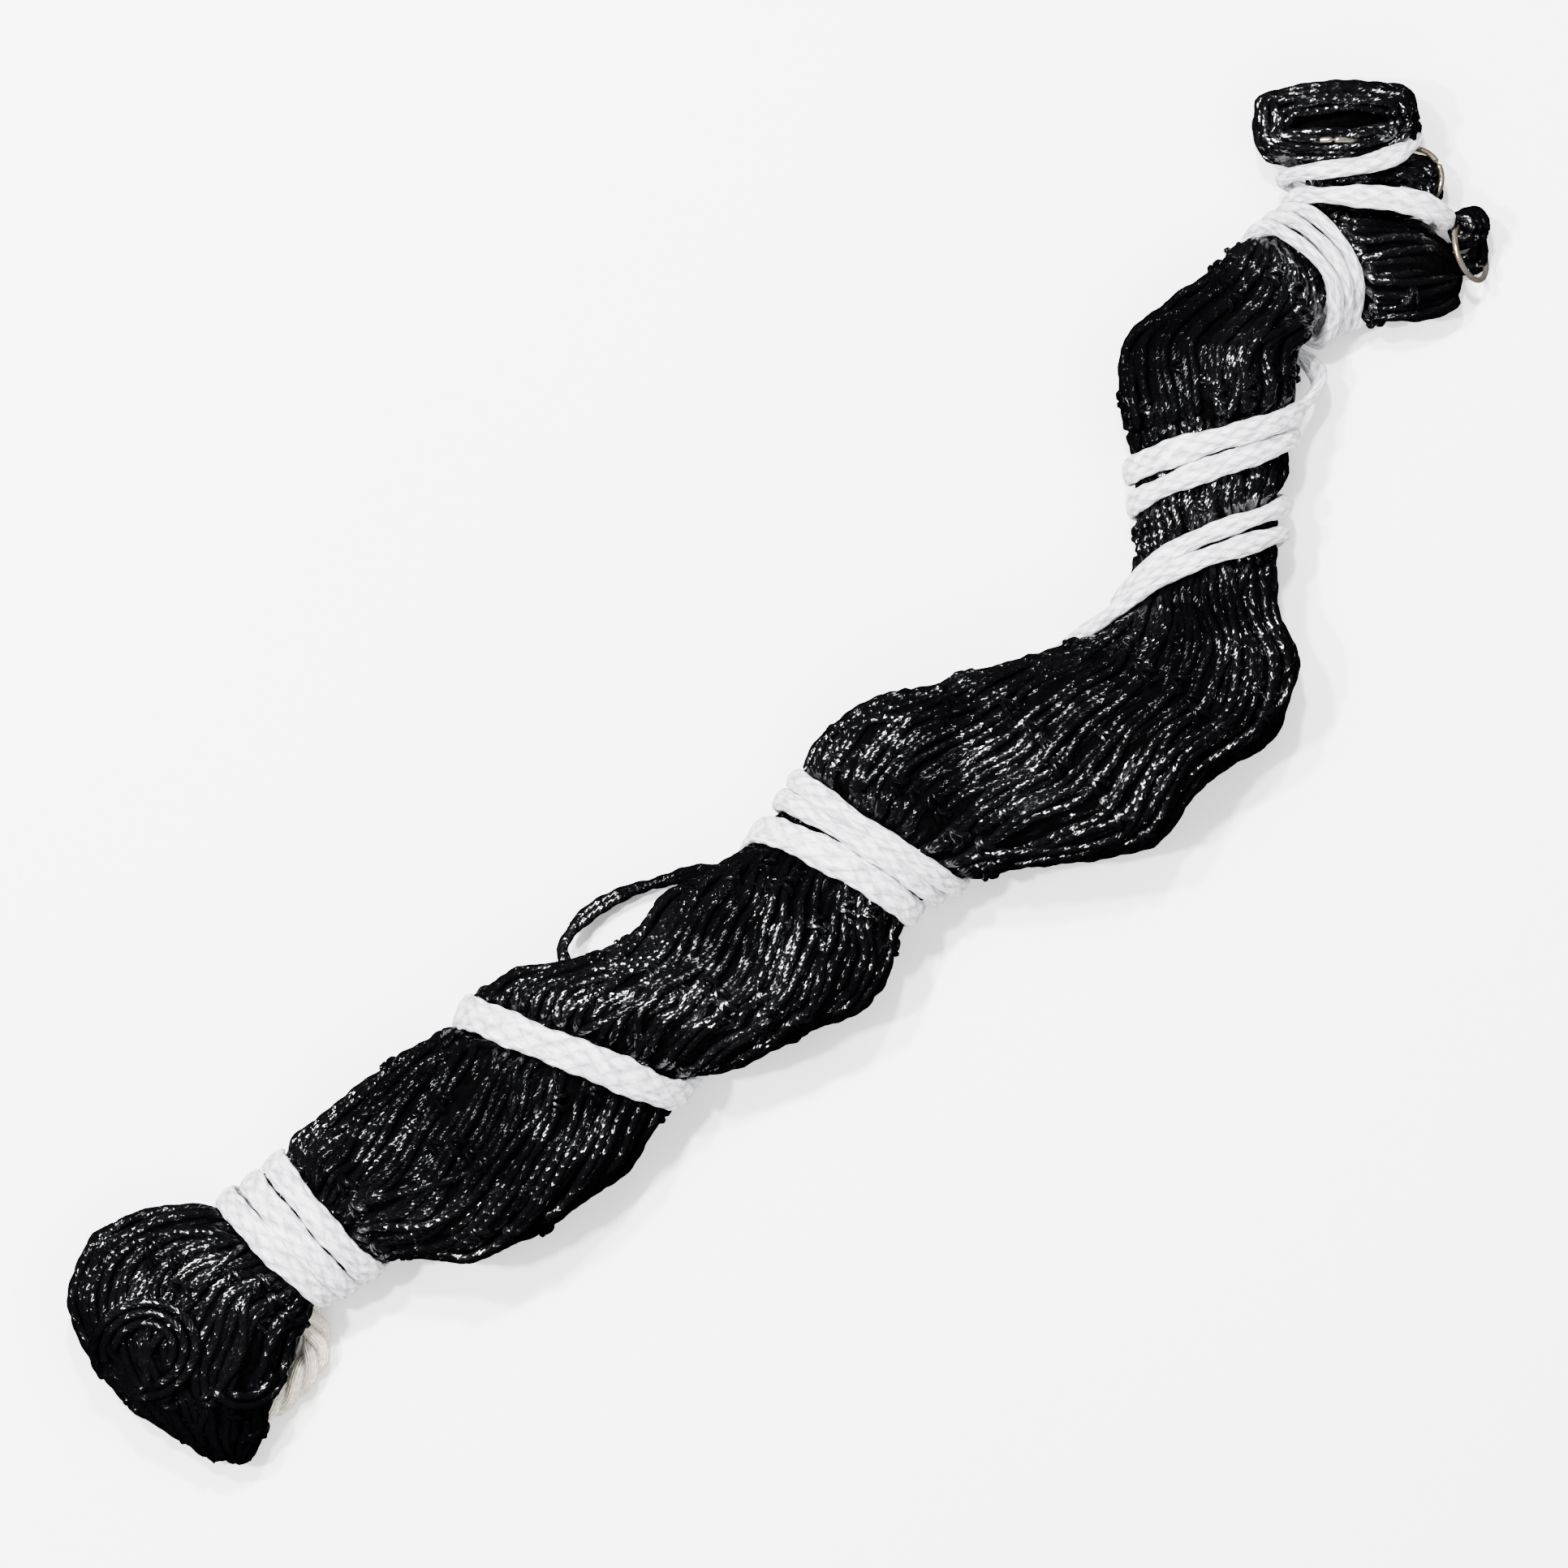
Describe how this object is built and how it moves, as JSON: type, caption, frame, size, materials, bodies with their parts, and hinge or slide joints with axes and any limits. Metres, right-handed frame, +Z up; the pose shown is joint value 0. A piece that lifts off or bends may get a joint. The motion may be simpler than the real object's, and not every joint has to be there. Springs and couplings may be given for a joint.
{
  "type": "lashed tennis net bundle",
  "caption": "Black twine tennis net gathered into a rope-like bundle with a bent neck, lashed with a white braided cord.",
  "frame": {"origin": "on the plane that the bundle lies on, below the middle of its whole box", "axes": "+X along the bundle's length, from the loose tail towards the folded head; +Z up"},
  "size_m": [0.5514, 0.209, 0.0523],
  "materials": {
    "twine": "glossy black braided twine",
    "tie_cord": "soft white hollow braid",
    "border_rope": "cream twisted rope",
    "ring_steel": "polished wire"
  },
  "bodies": {
    "bundle": {"net_tail_tuft": "twine", "net_bulge_1": "twine", "net_bulge_2": "twine", "net_bulge_3": "twine", "net_elbow": "twine", "net_bulge_4": "twine", "net_neck": "twine", "net_head_roll": "twine", "net_head_middle_fold": "twine", "net_head_lower_fold": "twine", "corner_eye": "twine", "tie_cord": "tie_cord", "border_rope": "border_rope", "fold_ring": "ring_steel", "roll_ring": "ring_steel"},
    "end_ring": {"end_ring": "ring_steel"},
    "slack_loop": {"slack_loop": "twine"}
  },
  "joints": [
    {"name": "end_ring_swing", "type": "hinge", "parent": "bundle", "child": "end_ring", "pos_m": [0.2669, 0.04001, 0.0102], "axis": [-0.5119, 0.1049, 0.8526], "range_deg": [0, 60]},
    {"name": "slack_loop_lift", "type": "hinge", "parent": "bundle", "child": "slack_loop", "pos_m": [-0.08715, -0.0205, 0.015], "axis": [0.9998, 0.018, 0], "range_deg": [0, 50]}
  ]
}
